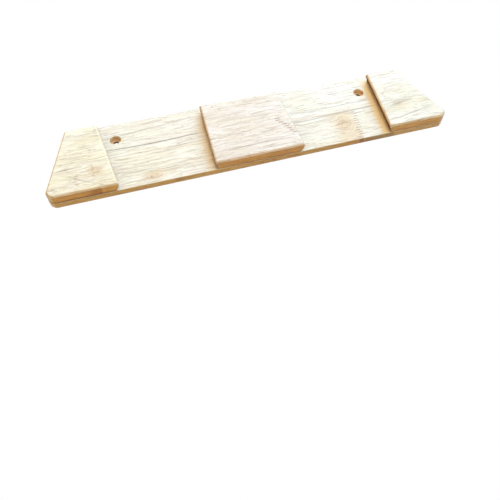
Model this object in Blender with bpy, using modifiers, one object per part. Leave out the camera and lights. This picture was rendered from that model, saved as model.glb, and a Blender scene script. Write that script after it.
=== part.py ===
"""Wall rack for two pairs of skis: a rubberwood back board with three dovetailed blocks.

The board hangs flat on a wall by two counterbored screw holes. Three blocks are glued and
screwed to its front, and the two spaces between them are the ski slots. Each slot is wide
at its upper end and narrow at its lower end, so that the shovels of a pair of skis wedge in
it, and its sides lean outward, so that the edges of the skis are caught behind them.

Metres, +Z up. The back of the board is the plane y = 0 and its front faces -Y. The origin is
on the back, midway between the two wall screw holes.
"""

import math

import bmesh
import bpy
from mathutils import Matrix, Vector

# Back board: the outline is drawn with sharp corners, which are then rounded
BOARD_LENGTH = 0.483
BOARD_HEIGHT = 0.1016
BOARD_THICKNESS = 0.008
END_LEAN = 0.0345
LOWER_CORNER_RADIUS = 0.009
UPPER_CORNER_RADIUS = 0.004
BOARD_FRONT_ROUNDING = 0.0007
BOARD_BACK_ROUNDING = 0.0014

# Wall screw holes, counterbored from the front
HOLE_SPACING = 0.310
HOLE_HEIGHT = 0.076
HOLE_DIAMETER = 0.0062
COUNTERBORE_DIAMETER = 0.0128
COUNTERBORE_DEPTH = 0.005
MOUTH_CHAMFER = 0.0003

# Blocks and the ski slots between them, measured at the front lips of the blocks
BLOCK_THICKNESS = 0.0105
BLOCK_TOP_SETBACK = 0.006
BLOCK_ROUNDING = 0.003
LIP_ROUNDING = 0.0047
LIP_CORNER_ROUNDING = 0.0015
CENTRE_LOWER_WIDTH = 0.1105
CENTRE_UPPER_WIDTH = 0.101
SLOT_LOWER_WIDTH = 0.1045
SLOT_UPPER_WIDTH = 0.1195
UNDERCUT = 0.005
GLUE_LINE = 0.0003

# Countersunk wood screws, driven through the back into the blocks
SCREW_LENGTH = 0.0155
SCREW_DIAMETER = 0.0034
SCREW_HEAD_DIAMETER = 0.0064
SCREW_HEAD_RIM = 0.0004
SCREW_POINT_LENGTH = 0.003
SCREW_CLEARANCE = 0.0003
RECESS_SPAN = 0.0036
RECESS_SLOT = 0.0008
RECESS_DEPTH = 0.0012
LOWER_SCREW_HEIGHT = 0.022
UPPER_SCREW_HEIGHT = 0.074
CENTRE_SCREW_OFFSET = 0.022

# How finely the round shapes are drawn
CORNER_STEPS = 8
ROUNDING_STEPS = 4
HOLE_SIDES = 48
SCREW_SIDES = 24
CUTTER_OVERRUN = 0.002
MERGE = 0.00001
FLAT_ANGLE = math.radians(0.5)
SHARP_ANGLE = math.radians(32)

# Worked out from the sizes above
BLOCK_HEIGHT = BOARD_HEIGHT - BLOCK_TOP_SETBACK
BOARD_BACK = 0.0
BOARD_FRONT = BOARD_BACK - BOARD_THICKNESS
BLOCK_BASE = BOARD_FRONT - GLUE_LINE
BLOCK_FRONT = BLOCK_BASE - BLOCK_THICKNESS
SCREW_HEAD_HEIGHT = (SCREW_HEAD_DIAMETER - SCREW_DIAMETER) / 2

# Finishes: base colour, roughness, metallic
WOODS = {
    "board_rubberwood": ((0.86, 0.70, 0.46), 0.42, 0.0),
    "end_block_rubberwood": ((0.88, 0.71, 0.48), 0.42, 0.0),
    "centre_block_rubberwood": ((0.87, 0.70, 0.55), 0.42, 0.0),
    "zinc_plated_steel": ((0.72, 0.70, 0.62), 0.30, 1.0),
}


def clear_scene():
    """Remove every object of the starting scene."""
    for item in list(bpy.data.objects):
        bpy.data.objects.remove(item, do_unlink=True)


def new_collection(name):
    """A collection linked to the scene."""
    collection = bpy.data.collections.new(name)
    bpy.context.scene.collection.children.link(collection)
    return collection


def new_material(name):
    """A Principled material with the finish of that name."""
    colour, roughness, metallic = WOODS[name]
    material = bpy.data.materials.new(name)
    material.use_nodes = True
    shader = material.node_tree.nodes["Principled BSDF"]
    shader.inputs["Base Color"].default_value = (*colour, 1.0)
    shader.inputs["Roughness"].default_value = roughness
    shader.inputs["Metallic"].default_value = metallic
    material.diffuse_color = (*colour, 1.0)
    return material


def rounded_corner(corner, before, after, radius):
    """Points of the arc that rounds off one corner of an outline."""
    if radius <= 0:
        return [corner]
    back = (before - corner).normalized()
    ahead = (after - corner).normalized()
    half_angle = back.angle(ahead) / 2
    reach = radius / math.tan(half_angle)
    centre = corner + (back + ahead).normalized() * radius / math.sin(half_angle)
    start = corner + back * reach - centre
    end = corner + ahead * reach - centre
    sweep = start.angle(end)
    points = []
    for step in range(CORNER_STEPS + 1):
        share = step / CORNER_STEPS
        spoke = (start * math.sin((1 - share) * sweep) + end * math.sin(share * sweep)) / math.sin(sweep)
        points.append(centre + spoke)
    return points


def rounded_outline(corners):
    """The outline through (x, z, radius) corners, with each corner rounded."""
    places = [Vector((x, z)) for x, z, _ in corners]
    points = []
    for index, (_, _, radius) in enumerate(corners):
        after = places[(index + 1) % len(places)]
        points += rounded_corner(places[index], places[index - 1], after, radius)
    return points


def weld(mesh):
    """Join the loose caps of a converted curve and drop the lines across its flat faces."""
    shape = bmesh.new()
    shape.from_mesh(mesh)
    bmesh.ops.remove_doubles(shape, verts=shape.verts, dist=MERGE)
    bmesh.ops.dissolve_limit(shape, angle_limit=FLAT_ANGLE, verts=shape.verts, edges=shape.edges)
    bmesh.ops.recalc_face_normals(shape, faces=shape.faces)
    shape.to_mesh(mesh)
    shape.free()


def upright_plate(name, outline, back, front, collection):
    """A flat piece of wood with an outline in x and z, between two depths in y."""
    curve = bpy.data.curves.new(name + "_outline", "CURVE")
    curve.dimensions = "2D"
    curve.fill_mode = "BOTH"
    curve.extrude = (back - front) / 2
    spline = curve.splines.new("POLY")
    spline.points.add(len(outline) - 1)
    for point, place in zip(spline.points, outline):
        point.co = (place.x, place.y, 0.0, 1.0)
    spline.use_cyclic_u = True
    drawing = bpy.data.objects.new(name + "_outline", curve)
    drawing.rotation_euler.x = math.radians(90)
    collection.objects.link(drawing)
    bpy.context.view_layer.update()
    drawn = drawing.evaluated_get(bpy.context.evaluated_depsgraph_get())
    mesh = bpy.data.meshes.new_from_object(drawn)
    weld(mesh)
    mesh.transform(Matrix.Translation((0.0, (back + front) / 2, 0.0)) @ drawing.matrix_world)
    bpy.data.objects.remove(drawing)
    bpy.data.curves.remove(curve)
    plate = bpy.data.objects.new(name, mesh)
    collection.objects.link(plate)
    return plate


def saw_off(mesh, point, normal):
    """Saw away the side of a plane that its normal points to, and close the cut."""
    shape = bmesh.new()
    shape.from_mesh(mesh)
    everything = shape.verts[:] + shape.edges[:] + shape.faces[:]
    cut = bmesh.ops.bisect_plane(
        shape, geom=everything, dist=MERGE, plane_co=point, plane_no=normal, clear_outer=True
    )
    rim = [item for item in cut["geom_cut"] if isinstance(item, bmesh.types.BMEdge)]
    bmesh.ops.holes_fill(shape, edges=rim)
    bmesh.ops.recalc_face_normals(shape, faces=shape.faces)
    shape.to_mesh(mesh)
    shape.free()


def weigh_edges(mesh, weight_of):
    """Give each edge the bevel weight that a rule works out from its two ends."""
    shape = bmesh.new()
    shape.from_mesh(mesh)
    weights = shape.edges.layers.float.new("bevel_weight_edge")
    for edge in shape.edges:
        edge[weights] = weight_of(edge.verts[0].co, edge.verts[1].co)
    shape.to_mesh(mesh)
    shape.free()


def round_edges(piece, width):
    """Round the weighted edges of a piece with a Bevel."""
    bevel = piece.modifiers.new("rounded_edges", "BEVEL")
    bevel.limit_method = "WEIGHT"
    bevel.offset_type = "OFFSET"
    bevel.width = width
    bevel.segments = ROUNDING_STEPS
    bevel.use_clamp_overlap = True
    bevel.loop_slide = True


def cut_away(piece, cutter, label):
    """Cut one shape out of a piece with a Boolean."""
    boolean = piece.modifiers.new(label, "BOOLEAN")
    boolean.operation = "DIFFERENCE"
    boolean.solver = "EXACT"
    boolean.object = cutter


def turned(name, profile, place, sides, collection):
    """A turned shape about an axis along Y, from (radius, y) points listed front to back."""
    mesh = bpy.data.meshes.new(name)
    rim = [(radius, 0.0, depth) for radius, depth in reversed(profile)]
    mesh.from_pydata(rim, [(index, index + 1) for index in range(len(rim) - 1)], [])
    shape = bpy.data.objects.new(name, mesh)
    screw = shape.modifiers.new("turned", "SCREW")
    screw.axis = "Z"
    screw.steps = sides
    screw.render_steps = sides
    screw.use_merge_vertices = True
    screw.merge_threshold = MERGE
    shape.rotation_euler.x = math.radians(-90)
    shape.location = place
    collection.objects.link(shape)
    return shape


def as_cutter(shape):
    """Show a cutter as wires and keep it out of renders."""
    shape.display_type = "WIRE"
    shape.hide_render = True
    return shape


def board_end_at(height):
    """How far the board's slanted end is from the middle, at a height above the lower edge."""
    return BOARD_LENGTH / 2 - END_LEAN * height / BOARD_HEIGHT


def end_lip_at(height):
    """How far an end block's lip is from the middle, at a height above the lower edge."""
    lower = CENTRE_LOWER_WIDTH / 2 + SLOT_LOWER_WIDTH
    upper = CENTRE_UPPER_WIDTH / 2 + SLOT_UPPER_WIDTH
    return lower + (upper - lower) * height / BLOCK_HEIGHT


def end_block_middle_at(height):
    """The middle of an end block's glued face, at a height above the lower edge."""
    return (board_end_at(height) + end_lip_at(height) + UNDERCUT) / 2


def slot_cut_plane(lower, upper, towards):
    """Point and normal of the leaning saw cut that makes one side of a slot.

    lower and upper are the x of the lip at the block's two ends, and towards is +1 where the
    slot lies on the +X side. The cut leans in below the lip by the undercut.
    """
    lip_low = Vector((lower, BLOCK_FRONT, 0.0))
    lip_high = Vector((upper, BLOCK_FRONT, BLOCK_HEIGHT))
    base_low = Vector((lower - towards * UNDERCUT, BLOCK_BASE, 0.0))
    normal = (lip_high - lip_low).cross(base_low - lip_low).normalized()
    if normal.x * towards < 0:
        normal.negate()
    return lip_low, normal


def block_edge_weight(first, second):
    """Full weight along the lips, part weight round the front and up the corners beside a slot.

    A lip is sharper than a square edge, so its rounding starts farther from it to come out at
    about the same radius. The lips are the only front edges as long as the block is high.
    """
    on_front = [abs(place.y - BLOCK_FRONT) < MERGE for place in (first, second)]
    on_base = [abs(place.y - BLOCK_BASE) < MERGE for place in (first, second)]
    if all(on_front):
        is_lip = abs(first.z - second.z) > BLOCK_HEIGHT - 10 * MERGE
        return 1.0 if is_lip else BLOCK_ROUNDING / LIP_ROUNDING
    if any(on_front) and any(on_base) and abs(first.x - second.x) > MERGE:
        return LIP_CORNER_ROUNDING / LIP_ROUNDING
    return 0.0


def make_back_board(collection, material):
    """The trapezoid board that carries everything, before its holes are cut."""
    half = BOARD_LENGTH / 2
    top = board_end_at(BOARD_HEIGHT)
    outline = rounded_outline([
        (-half, 0.0, LOWER_CORNER_RADIUS),
        (half, 0.0, LOWER_CORNER_RADIUS),
        (top, BOARD_HEIGHT, UPPER_CORNER_RADIUS),
        (-top, BOARD_HEIGHT, UPPER_CORNER_RADIUS),
    ])
    board = upright_plate("back_board", outline, BOARD_BACK, BOARD_FRONT, collection)

    def weight(first, second):
        if abs(first.y - BOARD_BACK) < MERGE and abs(second.y - BOARD_BACK) < MERGE:
            return 1.0
        if abs(first.y - BOARD_FRONT) < MERGE and abs(second.y - BOARD_FRONT) < MERGE:
            return BOARD_FRONT_ROUNDING / BOARD_BACK_ROUNDING
        return 0.0

    weigh_edges(board.data, weight)
    round_edges(board, BOARD_BACK_ROUNDING)
    board.data.materials.append(material)
    return board


def make_end_block(name, side, collection, material):
    """One end block: its outer side follows the board's slanted end, its inner side is a slot."""
    inner = min(end_lip_at(0.0), end_lip_at(BLOCK_HEIGHT)) - CUTTER_OVERRUN
    outline = rounded_outline([
        (side * inner, 0.0, 0.0),
        (side * board_end_at(0.0), 0.0, LOWER_CORNER_RADIUS),
        (side * board_end_at(BLOCK_HEIGHT), BLOCK_HEIGHT, UPPER_CORNER_RADIUS),
        (side * inner, BLOCK_HEIGHT, 0.0),
    ])
    block = upright_plate(name, outline, BLOCK_BASE, BLOCK_FRONT, collection)
    saw_off(block.data, *slot_cut_plane(side * end_lip_at(0.0), side * end_lip_at(BLOCK_HEIGHT), -side))
    weigh_edges(block.data, block_edge_weight)
    round_edges(block, LIP_ROUNDING)
    block.data.materials.append(material)
    return block


def make_centre_block(collection, material):
    """The centre block, with a leaning slot side to the left and to the right."""
    lower = CENTRE_LOWER_WIDTH / 2
    upper = CENTRE_UPPER_WIDTH / 2
    widest = max(lower, upper) + CUTTER_OVERRUN
    outline = rounded_outline([
        (-widest, 0.0, 0.0),
        (widest, 0.0, 0.0),
        (widest, BLOCK_HEIGHT, 0.0),
        (-widest, BLOCK_HEIGHT, 0.0),
    ])
    block = upright_plate("centre_block", outline, BLOCK_BASE, BLOCK_FRONT, collection)
    for side in (-1, 1):
        saw_off(block.data, *slot_cut_plane(side * lower, side * upper, side))
    weigh_edges(block.data, block_edge_weight)
    round_edges(block, LIP_ROUNDING)
    block.data.materials.append(material)
    return block


def wall_hole_profile():
    """The counterbored wall hole, front to back, as (radius, depth behind the board's back)."""
    floor = BOARD_FRONT + COUNTERBORE_DEPTH
    return [
        (0.0, BOARD_FRONT - CUTTER_OVERRUN),
        (COUNTERBORE_DIAMETER / 2 + MOUTH_CHAMFER + CUTTER_OVERRUN, BOARD_FRONT - CUTTER_OVERRUN),
        (COUNTERBORE_DIAMETER / 2, BOARD_FRONT + MOUTH_CHAMFER),
        (COUNTERBORE_DIAMETER / 2, floor),
        (HOLE_DIAMETER / 2, floor),
        (HOLE_DIAMETER / 2, BOARD_BACK + CUTTER_OVERRUN),
        (0.0, BOARD_BACK + CUTTER_OVERRUN),
    ]


def screw_profile(clearance):
    """A countersunk screw from its point to its head, or the hole for it when clearance is given."""
    head = BOARD_BACK - SCREW_CLEARANCE
    tip = head - SCREW_LENGTH
    radius = SCREW_DIAMETER / 2
    rim = SCREW_HEAD_DIAMETER / 2
    seat = head - SCREW_HEAD_RIM
    neck = seat - SCREW_HEAD_HEIGHT
    profile = [
        (0.0, tip - clearance),
        (radius + clearance, tip + SCREW_POINT_LENGTH),
        (radius + clearance, neck),
        (rim + clearance, seat),
    ]
    if clearance:
        return profile + [(rim + clearance, BOARD_BACK + CUTTER_OVERRUN), (0.0, BOARD_BACK + CUTTER_OVERRUN)]
    return profile + [(rim, head), (0.0, head)]


def make_screw(name, place, collection, cutters, material):
    """One wood screw with its cross recess, and the cutter for its hole."""
    screw = turned(name, screw_profile(0.0), place, SCREW_SIDES, collection)
    head = BOARD_BACK - SCREW_CLEARANCE
    recess = bmesh.new()
    for span in ((RECESS_SPAN, RECESS_SLOT), (RECESS_SLOT, RECESS_SPAN)):
        size = Matrix.Diagonal((span[0], RECESS_DEPTH * 2, span[1], 1.0))
        bmesh.ops.create_cube(recess, size=1.0, matrix=size)
    mesh = bpy.data.meshes.new(name + "_recess")
    recess.to_mesh(mesh)
    recess.free()
    cross = bpy.data.objects.new(name + "_recess", mesh)
    cross.location = place + Vector((0.0, head, 0.0))
    cutters.objects.link(as_cutter(cross))
    cut_away(screw, cross, "cross_recess")
    screw.modifiers["cross_recess"].use_self = True
    screw.data.materials.append(material)
    hole = turned(name + "_hole", screw_profile(SCREW_CLEARANCE), place, SCREW_SIDES, cutters)
    return screw, as_cutter(hole)


def block_screw_places():
    """The two screws of each block, as (block name, [(screw name, x, height), ...])."""
    heights = (("lower", LOWER_SCREW_HEIGHT), ("upper", UPPER_SCREW_HEIGHT))
    places = []
    for label, side in (("left", -1), ("right", 1)):
        rows = []
        for level, height in heights:
            rows.append((f"{label}_block_{level}_screw", side * end_block_middle_at(height), height))
        places.append((f"{label}_end_block", rows))
    middle = (LOWER_SCREW_HEIGHT + UPPER_SCREW_HEIGHT) / 2
    rows = []
    for label, side in (("left", -1), ("right", 1)):
        rows.append((f"centre_block_{label}_screw", side * CENTRE_SCREW_OFFSET, middle))
    places.append(("centre_block", rows))
    return places


def main():
    """Build the rack."""
    clear_scene()
    rack = new_collection("ski_wall_rack")
    cutters = new_collection("cutters")
    materials = {name: new_material(name) for name in WOODS}

    pieces = {
        "back_board": make_back_board(rack, materials["board_rubberwood"]),
        "left_end_block": make_end_block("left_end_block", -1, rack, materials["end_block_rubberwood"]),
        "centre_block": make_centre_block(rack, materials["centre_block_rubberwood"]),
        "right_end_block": make_end_block("right_end_block", 1, rack, materials["end_block_rubberwood"]),
    }
    board = pieces["back_board"]

    for label, side in (("left", -1), ("right", 1)):
        place = Vector((side * HOLE_SPACING / 2, 0.0, HOLE_HEIGHT))
        hole = turned(f"{label}_wall_hole", wall_hole_profile(), place, HOLE_SIDES, cutters)
        cut_away(board, as_cutter(hole), f"{label}_wall_hole")

    for block_name, rows in block_screw_places():
        for name, across, height in rows:
            place = Vector((across, 0.0, height))
            screw, hole = make_screw(name, place, rack, cutters, materials["zinc_plated_steel"])
            pieces[name] = screw
            cut_away(board, hole, name + "_hole")
            cut_away(pieces[block_name], hole, name + "_hole")

    lower_edge = bpy.data.objects.new("middle_of_lower_edge", None)
    lower_edge.location = (0.0, 0.0, -HOLE_HEIGHT)
    rack.objects.link(lower_edge)
    for item in list(rack.objects) + list(cutters.objects):
        if item is not lower_edge:
            item.parent = lower_edge

    bpy.context.view_layer.update()
    for piece in pieces.values():
        piece.data.shade_smooth()
        piece.data.set_sharp_from_angle(angle=SHARP_ANGLE)


main()
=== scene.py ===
"""Looks of a wall rack for two pairs of skis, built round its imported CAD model.

A trapezoid rubberwood back board carries three dovetailed blocks, and the two spaces between
the blocks are the ski slots. Metres, +Z up, the back of the board on the plane y = 0 and its
front facing -Y. Sizes that belong to a pattern in the wood are in millimetres, and places on
the rack's front are given as (x, height above the lower edge).
"""

import logging
import math
from dataclasses import dataclass, field
from enum import Enum
from functools import partial
from typing import Any, Callable, TypeAlias

import bmesh
import bpy
from mathutils import Matrix, Vector


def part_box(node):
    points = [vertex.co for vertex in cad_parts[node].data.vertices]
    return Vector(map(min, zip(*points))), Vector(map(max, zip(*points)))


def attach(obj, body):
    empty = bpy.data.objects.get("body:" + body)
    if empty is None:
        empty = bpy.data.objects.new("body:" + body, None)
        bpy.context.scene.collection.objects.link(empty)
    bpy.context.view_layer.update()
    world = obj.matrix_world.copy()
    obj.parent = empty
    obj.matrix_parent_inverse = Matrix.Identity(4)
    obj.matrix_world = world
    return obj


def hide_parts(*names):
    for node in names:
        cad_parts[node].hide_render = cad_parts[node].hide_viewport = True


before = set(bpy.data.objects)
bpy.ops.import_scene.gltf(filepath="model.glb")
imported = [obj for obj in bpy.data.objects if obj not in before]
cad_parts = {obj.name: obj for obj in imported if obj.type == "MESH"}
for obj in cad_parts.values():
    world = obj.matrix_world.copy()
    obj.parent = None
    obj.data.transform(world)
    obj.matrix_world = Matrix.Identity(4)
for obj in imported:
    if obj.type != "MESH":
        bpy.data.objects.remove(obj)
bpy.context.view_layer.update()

LOG = logging.getLogger("ski_wall_rack")
logging.basicConfig(level=logging.INFO, format="%(message)s")

BODY = "root"
MM = 0.001
MERGE = 0.00001
# cutters and rough outlines reach this far past the wood that they cut
OVERSHOOT = 2 * MM
SHARP_ANGLE = math.radians(32)
CORNER_STEPS = 24
ROUNDING_STEPS = 8
HOLE_SIDES = 96
SCREW_HOLE_SIDES = 48
SCREW_SIDES = 24
FLOOR_SIDES = 96

COORDINATES = "ShaderNodeTexCoord"
SPLIT = "ShaderNodeSeparateXYZ"
MATH = "ShaderNodeMath"
VECTOR = "ShaderNodeVectorMath"
RANGE = "ShaderNodeMapRange"
NOISE = "ShaderNodeTexNoise"
MIX = "ShaderNodeMix"
BUMP = "ShaderNodeBump"
PRINCIPLED = "ShaderNodeBsdfPrincipled"
OUTPUT = "ShaderNodeOutputMaterial"
BACKGROUND = "ShaderNodeBackground"

Signal: TypeAlias = bpy.types.Node | bpy.types.NodeSocket | float | tuple[float, ...]
AddNode: TypeAlias = Callable[..., bpy.types.Node]
Shape: TypeAlias = bmesh.types.BMesh
Ring: TypeAlias = list[bmesh.types.BMVert]
Profile: TypeAlias = list[tuple[float, float]]
Plane: TypeAlias = tuple[Vector, Vector]


def linear(code: str) -> tuple[float, float, float, float]:
    """Turn an sRGB hex colour into the linear one that a shader takes.

    Args:
        code: The colour as #RRGGBB.

    Returns:
        Red, green, blue and a full alpha.
    """
    shares = [int(code[place:place + 2], 16) / 255 for place in (1, 3, 5)]
    red, green, blue = (share / 12.92 if share <= 0.04045 else ((share + 0.055) / 1.055) ** 2.4
                        for share in shares)
    return red, green, blue, 1.0


def add_node(tree: bpy.types.NodeTree, kind: str, inputs: dict[int | str, Signal] | None = None,
             **settings: Any) -> bpy.types.Node:
    """Add a node, give it its settings, and set or link its inputs.

    Args:
        tree: The node tree that gets the node.
        kind: The node's type.
        inputs: Input numbers or names, each with a value, a socket, or a node whose first
            working output is linked.
        **settings: The node's own properties.

    Returns:
        The new node.
    """
    node = tree.nodes.new(kind)
    for name, value in settings.items():
        setattr(node, name, value)
    for key, value in (inputs or {}).items():
        if isinstance(key, int):
            socket = node.inputs[key]
        else:
            socket = next(item for item in node.inputs if item.name == key and item.enabled)
        if isinstance(value, bpy.types.Node):
            value = next(item for item in value.outputs if item.enabled)
        if isinstance(value, bpy.types.NodeSocket):
            tree.links.new(value, socket)
        else:
            socket.default_value = value
    return node


def new_material(name: str) -> tuple[bpy.types.Material, AddNode]:
    """Make an empty material.

    Args:
        name: The material's name.

    Returns:
        The material, and the function that adds nodes to it.
    """
    material = bpy.data.materials.new(name)
    material.use_nodes = True
    material.node_tree.nodes.clear()
    return material, partial(add_node, material.node_tree)


class Blend(Enum):
    """How a coat of colour lies on the wood: over its colour, or soaked in and darkening it."""

    OVER = "MIX"
    SOAKED = "MULTIPLY"


@dataclass(frozen=True)
class Coat:
    """A colour on the wood, with the share of it that shows from place to place."""

    share: Signal
    colour: str
    blend: Blend = Blend.OVER


@dataclass(frozen=True)
class Figure:
    """One layer of the wood's figure: noise stretched along the grain, laid over in a colour.

    The lengths are in millimetres. It comes in between the noise values low and high, and share
    is how much of its colour shows at most.
    """

    along: float
    across: float
    low: float
    high: float
    colour: str
    share: float
    detail: float = 2.0


@dataclass(frozen=True)
class FingerJoint:
    """A glued finger joint across one stave, in millimetres.

    Its lean is how far it drifts to the right for each millimetre up. The glue shows at the
    fingers' tips only, as a ladder of dashes that stand up to half the scatter off its middle.
    """

    x: float
    low: float
    high: float
    darkness: float = 0.6
    dash: float = 6.0
    lean: float = 0.0
    pitch: float = 3.8
    length: float = 9.0
    scatter: float = 3.0
    dash_core: float = 0.3
    dash_edge: float = 1.0


@dataclass(frozen=True)
class Knot:
    """A small knot or swirl that the grain bends round, in millimetres.

    Its heart is warmer in tone, and growth rings may show round it as fine arches.
    """

    x: float
    height: float
    along: float
    across: float
    warmth: float = 0.5
    arches: float = 0.0
    arch_spacing: float = 2.6
    push: float = 0.9


@dataclass(frozen=True)
class Streak:
    """A long thin dark streak in the wood, in millimetres, which wanders with the grain."""

    start: float
    end: float
    height: float
    width: float
    darkness: float
    rise: float = 0.0
    wander: float = 7.0
    blur: float = 1.7
    fade: float = 12.0


@dataclass(frozen=True)
class Tint:
    """A stretch of the wood that has a tone of its own, in millimetres.

    It comes in slowly at the start of the stretch, over fade, and ends at once. The share is how
    much of its colour the faces take, and side_share the sawn sides.
    """

    start: float
    end: float
    low: float
    high: float
    colour: str
    share: float
    side_share: float = 0.0
    fade: float = 12.0


@dataclass(frozen=True)
class PaintedShadow:
    """Painted warm shadow on the board against the foot of a block, in millimetres.

    The block's lip stands at x = lower at the lower edge and at x = upper at the block's upper
    end, at height, and the painted shadow reaches to its left.
    """

    lower: float
    upper: float
    share: float
    reach: float = 10.0
    height: float = 95.6


@dataclass(frozen=True)
class Bore:
    """One step of a bored hole, in millimetres, whose walls get a tone of their own.

    Its walls lie within reach of the hole's middle, between two depths in y.
    """

    reach: float
    begin: float
    end: float
    colour: str
    blend: Blend


@dataclass(frozen=True)
class Rubberwood:
    """Rubberwood staves glued up with finger joints, planed, sanded and lacquered satin.

    It is a pale cream wood with long wandering strands, and coarse pores that show as short
    brown dashes along the grain. The roundings are tan, partly their sanded tone and partly
    painted shade. The lower sides are painted shade, a deep orange brown, and the ends and
    upper sides take a milder tone. The backs of the lips, the undercut sides and the back
    arris are darkened as painted shade.
    """

    name: str
    pale: str = "#F3ECDE"
    dark: str = "#7C6248"
    seamed: str = "#9A6634"
    # a painted warm shadow, laid over the board's front beside the blocks
    painted_shadow_colour: str = "#FFDD9C"
    # these soak in and darken the wood, so white would leave it as it is
    amber: str = "#E2B877"
    # the roundings' tan is partly the sanded edges' own tone and partly painted shade where they turn away
    # from the face
    rounding: str = "#F0DBBE"
    # painted shade: the lower sides, which face down and away from the lamps, turn a deep orange brown,
    # while the ends and upper sides take only the milder end tone
    side: str = "#E8BA6A"
    end: str = "#CFC0A4"
    # painted shade: the backs of the lips' roundings, the undercut sides and the back arris are darkened to
    # this
    undercut: str = "#9E671A"
    glued: str = "#8A6238"
    # clouds of straw and of rose are what tells one stave from the next
    clouds: Figure = Figure(70.0, 17.0, 0.35, 0.68, "#EEE3C9", 1.0)
    blush: Figure = Figure(120.0, 9.0, 0.45, 0.75, "#EBDBCA", 0.60)
    # strands are what the eye takes for the grain: bundles of fibres about 2 mm across
    strands: Figure = Figure(34.0, 1.7, 0.53, 0.62, "#AF9074", 0.42)
    lines: Figure = Figure(90.0, 1.4, 0.63, 0.71, "#8A7058", 0.45)
    # fibres and pores are 0.2 to 0.3 mm wide, and drawn about 1 mm wide so that they show
    fibres: Figure = Figure(18.0, 0.9, 0.46, 0.74, "#C6AA8A", 0.50, 3.0)
    pores: Figure = Figure(8.0, 0.9, 0.63, 0.73, "#8F7257", 0.60, 1.0)
    # each stave takes its grain from another place in the pattern, this far off
    stave_offset: tuple[float, float, float] = (431.7, 57.3, 173.9)
    # the wood past a finger joint counts as the stave this many further on
    joint_step: float = 3.0
    # the fibres wander a little from side to side, over a centimetre or so
    wiggle_length: float = 12.0
    wiggle_height: float = 1.5
    # growth rings in the faces are a few millimetres apart, and centre on a pith behind the
    # board: how far behind, its lowest height, and how much higher it may be
    pith: tuple[float, float, float] = (38.0, -8.0, 60.0)
    ring_spacing: float = 2.2
    ring_colour: str = "#C6AA8A"
    ring_share: float = 0.30
    ring_low: float = 0.42
    ring_high: float = 0.72
    ring_slope: float = 0.05
    ring_warp: float = 15.0
    # another stave shows rings this many further out
    ring_step: float = 91.7
    # a glue line between two staves is drawn this wide, in millimetres, with this share
    row_core: float = 0.1
    row_edge: float = 0.7
    row_share: float = 0.35
    # glue soaked into a block's sides: the most that shows, how far it reaches from the joint,
    # how far behind the joint it would be full, and how much the fibres fray it, in millimetres
    glue_stain: float = 0.0
    stain_reach: float = 2.4
    stain_full: float = 0.4
    stain_fray: float = 1.6
    # the board's front, in y, where the blocks are glued on
    front: float = -8.0
    holes: tuple[tuple[float, float], ...] = ()
    # the counterbore's walls take the tone of cut end grain; the narrow bore behind it is darkened as
    # painted shade
    bores: tuple[Bore, ...] = (
        Bore(7.0, -7.8, -1.5, "#ECC897", Blend.OVER), Bore(3.3, -2.9, 1.0, "#4A3626", Blend.SOAKED))
    bore_share: float = 0.85
    seed: float = 0.0
    rows: tuple[float, ...] = ()
    joints: tuple[FingerJoint, ...] = ()
    knots: tuple[Knot, ...] = ()
    streaks: tuple[Streak, ...] = ()
    tints: tuple[Tint, ...] = ()
    painted_shadows: tuple[PaintedShadow, ...] = ()
    # satin lacquer over fine pores: the fibres, the pores and the saw cut make it less smooth
    lacquer_roughness: float = 0.44
    fibre_roughness: float = 0.14
    pore_roughness: float = 0.2
    sawn_roughness: float = 0.4
    fibre_relief: float = 0.6
    pore_relief: float = -1.8
    relief_strength: float = 0.35
    relief_height: float = 0.06

    def staves(self, add: AddNode, x: Signal, height: Signal) -> tuple[Signal, Signal]:
        """Divide the wood into staves, by long glue lines and by finger joints.

        Args:
            add: The function that adds a node.
            x: The place along the rack.
            height: The height above its lower edge.

        Returns:
            The stave's number, and how much of a glue line shows.
        """
        stave: Signal = self.seed
        seam: Signal = 0.0
        lines: list[bpy.types.Node] = []
        for row in self.rows:
            above = add(MATH, {0: height, 1: row}, operation="SUBTRACT")
            side = add(MATH, {0: above, 1: 0.0}, operation="GREATER_THAN")
            stave = add(MATH, {0: side, 1: stave}, operation="ADD")
            gap = add(MATH, {0: above}, operation="ABSOLUTE")
            lines.append(add(RANGE, {"Value": gap, "From Min": self.row_core, "From Max": self.row_edge,
                                     "To Min": self.row_share, "To Max": 0.0}))
        for joint in self.joints:
            middle, reach = (joint.low + joint.high) / 2, (joint.high - joint.low) / 2
            within = add(MATH, {0: height, 1: middle, 2: reach}, operation="COMPARE")
            tooth = add(MATH, {0: height, 1: joint.pitch / 2}, operation="PINGPONG")
            course = add(MATH, {0: height, 1: -joint.lean, 2: joint.lean * middle - joint.x},
                         operation="MULTIPLY_ADD")
            course = add(MATH, {0: x, 1: course}, operation="ADD")
            border = add(MATH, {0: tooth, 1: 2 * joint.length / joint.pitch, 2: -joint.length / 2},
                         operation="MULTIPLY_ADD")
            past = add(MATH, {0: course, 1: border}, operation="GREATER_THAN")
            past = add(MATH, {0: past, 1: within}, operation="MULTIPLY")
            stave = add(MATH, {0: past, 1: self.joint_step, 2: stave}, operation="MULTIPLY_ADD")
            rung = add(MATH, {0: height, 1: 1 / joint.pitch, 2: 0.5}, operation="MULTIPLY_ADD")
            rung = add(MATH, {0: rung}, operation="FLOOR")
            chance = add("ShaderNodeTexWhiteNoise", {"W": rung}, noise_dimensions="1D")
            centre = add(MATH, {0: chance.outputs["Value"], 1: joint.scatter, 2: -joint.scatter / 2},
                         operation="MULTIPLY_ADD")
            dash = add(MATH, {0: course, 1: centre, 2: joint.dash / 2}, operation="COMPARE")
            dash = add(MATH, {0: dash, 1: within}, operation="MULTIPLY")
            line = add(RANGE, {"Value": tooth, "From Min": joint.dash_core, "From Max": joint.dash_edge,
                               "To Min": joint.darkness, "To Max": 0.0})
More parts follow.
